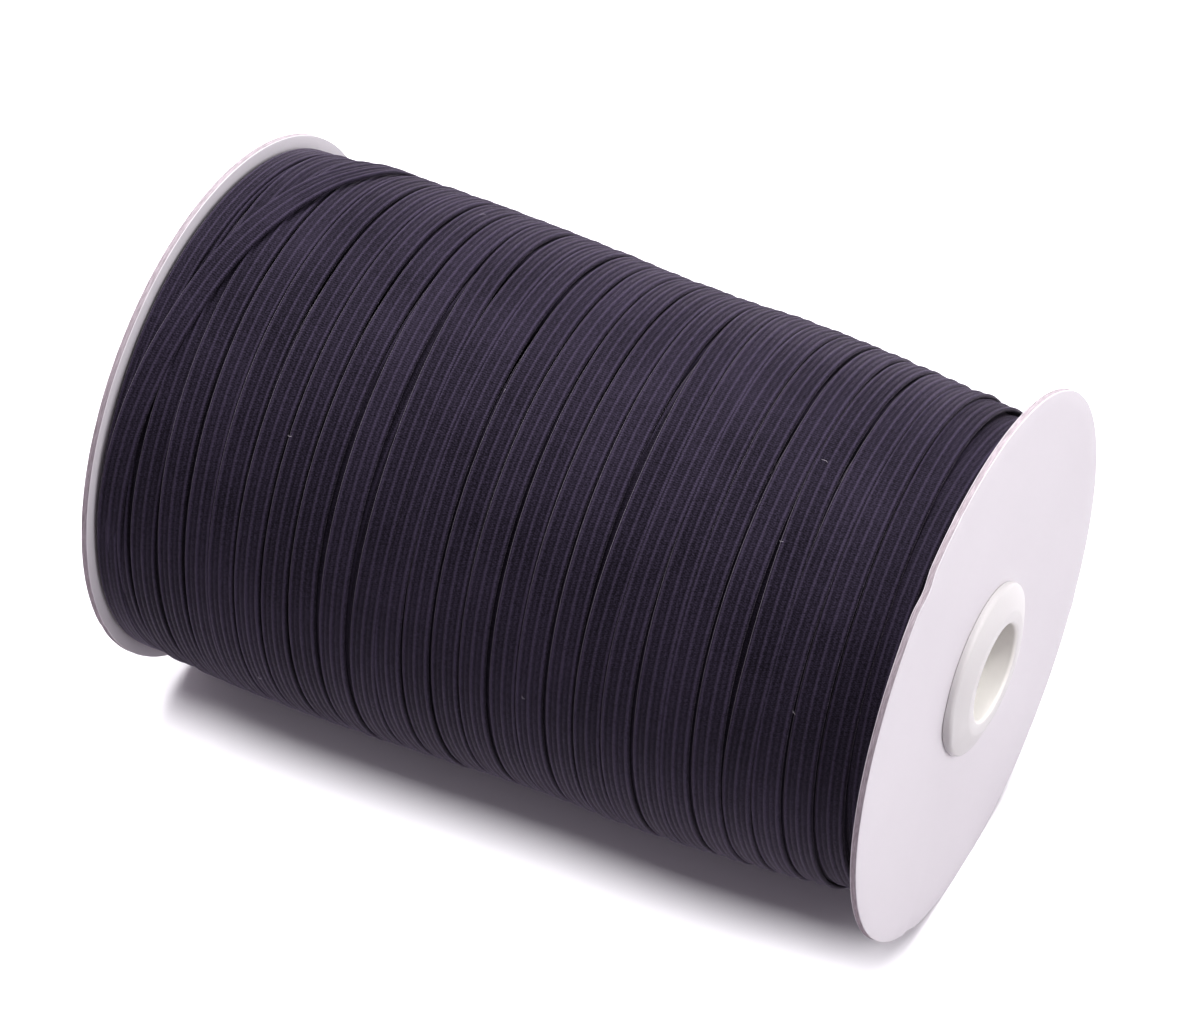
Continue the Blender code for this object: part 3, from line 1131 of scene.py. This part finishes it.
def make_disc(name, side, dents):
    """A detailed disc in place of a plain one. side is 1 at the right end, -1 at the left."""

    def place(ring, degrees):
        radius, depth, share, _ = ring
        push = 0
        bend = 0
        for middle, half_width, dent, curl in dents:
            ease = dip(degrees, middle, half_width)
            push += dent * MM * ease * share
            bend += curl * MM * ease * share
        turn = math.radians(degrees)
        spot = Vector((math.sin(turn), math.cos(turn), side)) * RIM_ROUGH_SCALE
        rough = noise.noise(spot) * RIM_ROUGH * share
        reach = radius - push + min(0, rough)
        height = max(AXIS_HEIGHT + reach * math.cos(turn), 0)
        return (side * (DISC_OUTER_FACE - depth + bend), -reach * math.sin(turn), height)

    materials = (paper_material, board_material)
    return add_object(name, turned_mesh(name, disc_rings(), DISC_STEPS, place, materials))


for end_name, end_side, end_dents in (("left", -1, LEFT_DENTS), ("right", 1, RIGHT_DENTS)):
    disc = make_disc("card_" + end_name, end_side, end_dents)
    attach(disc, "root")
    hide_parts("card_disc_" + end_name)
    print(disc.name, "faces:", len(disc.data.polygons))

# %% [markdown]
# ## The hub bushes
#
# Each bush is a smooth off-white moulding: a shallow sloped collar with a rounded edge that
# catches the light, and a sleeve that lines the bore. A Screw modifier could turn its profile,
# but the collar's edge bulges at one place. So the same turned ring is used as for the card,
# with real rounds in the profile. The bore's wall is painted paler than the collar, a painted
# pool of light in the bore, in one material that reads the distance from the reel's axis.

# %% Hub finish
BORE_RADIUS = 9.6 * MM
COLLAR_COLOR = (0.64, 0.63, 0.622)
# Painted light: the bore's wall is painted paler than the collar, for the light that falls into the
# bore.
BORE_PAINTED_LIGHT_COLOR = (0.86, 0.85, 0.81)
# Between these shares of the bore's radius the painted light of the bore fades into the collar's colour.
COLLAR_STARTS = (1.01, 1.07)


def make_plastic_material():
    material, graph, shader = new_material("hub_plastic")
    place = graph.add("ShaderNodeTexCoord", out="Object")
    cloud = graph.noise(place, scale=120, detail=3, roughness=0.5)
    parts = graph.add("ShaderNodeSeparateXYZ", None, {0: place}, out="Y")
    upward = parts.also("Z") - AXIS_HEIGHT
    from_axis = (parts * parts + upward * upward).math("SQRT")
    # 1 on the collar, 0 in the bore, where the paler colour is painted light.
    beyond_painted_bore_light = (from_axis / BORE_RADIUS).smooth(*COLLAR_STARTS)
    share = beyond_painted_bore_light * (0.94 + cloud * 0.12)
    graph.plug(
        shader,
        {
            "Base Color": graph.mix_colors(share, BORE_PAINTED_LIGHT_COLOR, COLLAR_COLOR),
            "Roughness": 0.36 + cloud * 0.12,
            "Normal": graph.bump(strength=0.15, distance=0.1 * MM, height=cloud),
            "Specular IOR Level": 0.3,
        },
    )
    return material


plastic_material = make_plastic_material()
print("hub finish:", plastic_material.name)

# %% Profile of the hub bushes
HUB_STEPS = 128
hub_low, hub_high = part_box("hub_right")
COLLAR_RADIUS = (hub_high.y - hub_low.y) / 2
COLLAR_TOP = hub_high.x
SLEEVE_END = hub_low.x
SLEEVE_RADIUS = 11.2 * MM
COLLAR_SEAT = DISC_OUTER_FACE + 0.03 * MM
SEAT_CORNER = 0.15 * MM
COLLAR_FLAT_RADIUS = 12.6 * MM
FLAT_CORNER = 0.5 * MM
FLAT_DROP = 0.06 * MM
EDGE_TOP = COLLAR_TOP - 1.4 * MM
EDGE_ROUND = 0.9 * MM
MOUTH_ROUND = 0.8 * MM
ROUND_STEPS = 7
# Where the collar's edge bulges: angle (degrees), half width (degrees), outwards (mm).
EDGE_BULGE = (92, 24, 0.45)
# Points lower than this over the card don't rise with the bulge.
BULGE_LIFTS_FROM = COLLAR_SEAT + 0.2 * MM


def rounded(center_radius, center_height, radius, start, end):
    """An arc of the profile between two angles in degrees, as pairs of radius and height."""
    points = []
    for step in range(ROUND_STEPS + 1):
        angle = math.radians(start + (end - start) * step / ROUND_STEPS)
        points.append(
            (center_radius + radius * math.cos(angle), center_height + radius * math.sin(angle))
        )
    return points


HUB_PROFILE = (
    (COLLAR_FLAT_RADIUS - FLAT_CORNER, COLLAR_TOP),
    (COLLAR_FLAT_RADIUS, COLLAR_TOP - FLAT_DROP),
    *rounded(COLLAR_RADIUS - EDGE_ROUND, EDGE_TOP - EDGE_ROUND, EDGE_ROUND, 72, 0),
    (COLLAR_RADIUS, COLLAR_SEAT + SEAT_CORNER),
    (COLLAR_RADIUS - SEAT_CORNER, COLLAR_SEAT),
    (SLEEVE_RADIUS, COLLAR_SEAT),
    (SLEEVE_RADIUS, SLEEVE_END),
    (BORE_RADIUS, SLEEVE_END),
    *rounded(BORE_RADIUS + MOUTH_ROUND, COLLAR_TOP - MOUTH_ROUND, MOUTH_ROUND, 180, 90),
)
print("points in the bush's profile:", len(HUB_PROFILE))


# %% Hub bushes
def make_hub(name, side):
    """A bush. side is 1 at the right end, -1 at the left."""
    middle, half_width, outwards = EDGE_BULGE

    def place(ring, degrees):
        radius, height, _ = ring
        edge_share = max(0, (radius - COLLAR_FLAT_RADIUS) / (COLLAR_RADIUS - COLLAR_FLAT_RADIUS))
        swell = outwards * MM * dip(degrees, middle, half_width) * edge_share
        reach = radius + swell
        turn = math.radians(degrees)
        lifted = height + (swell if height > BULGE_LIFTS_FROM else 0)
        return (side * lifted, -reach * math.sin(turn), AXIS_HEIGHT + reach * math.cos(turn))

    rings = [(radius, height, 0) for radius, height in HUB_PROFILE]
    return add_object(name, turned_mesh(name, rings, HUB_STEPS, place, (plastic_material,)))


for end_name, end_side in (("left", -1), ("right", 1)):
    hub = make_hub("bush_" + end_name, end_side)
    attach(hub, "root")
    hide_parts("hub_" + end_name)
    hubs_lit.objects.link(hub)
    print(hub.name, "faces:", len(hub.data.polygons))

# %% [markdown]
# ## Finish
#
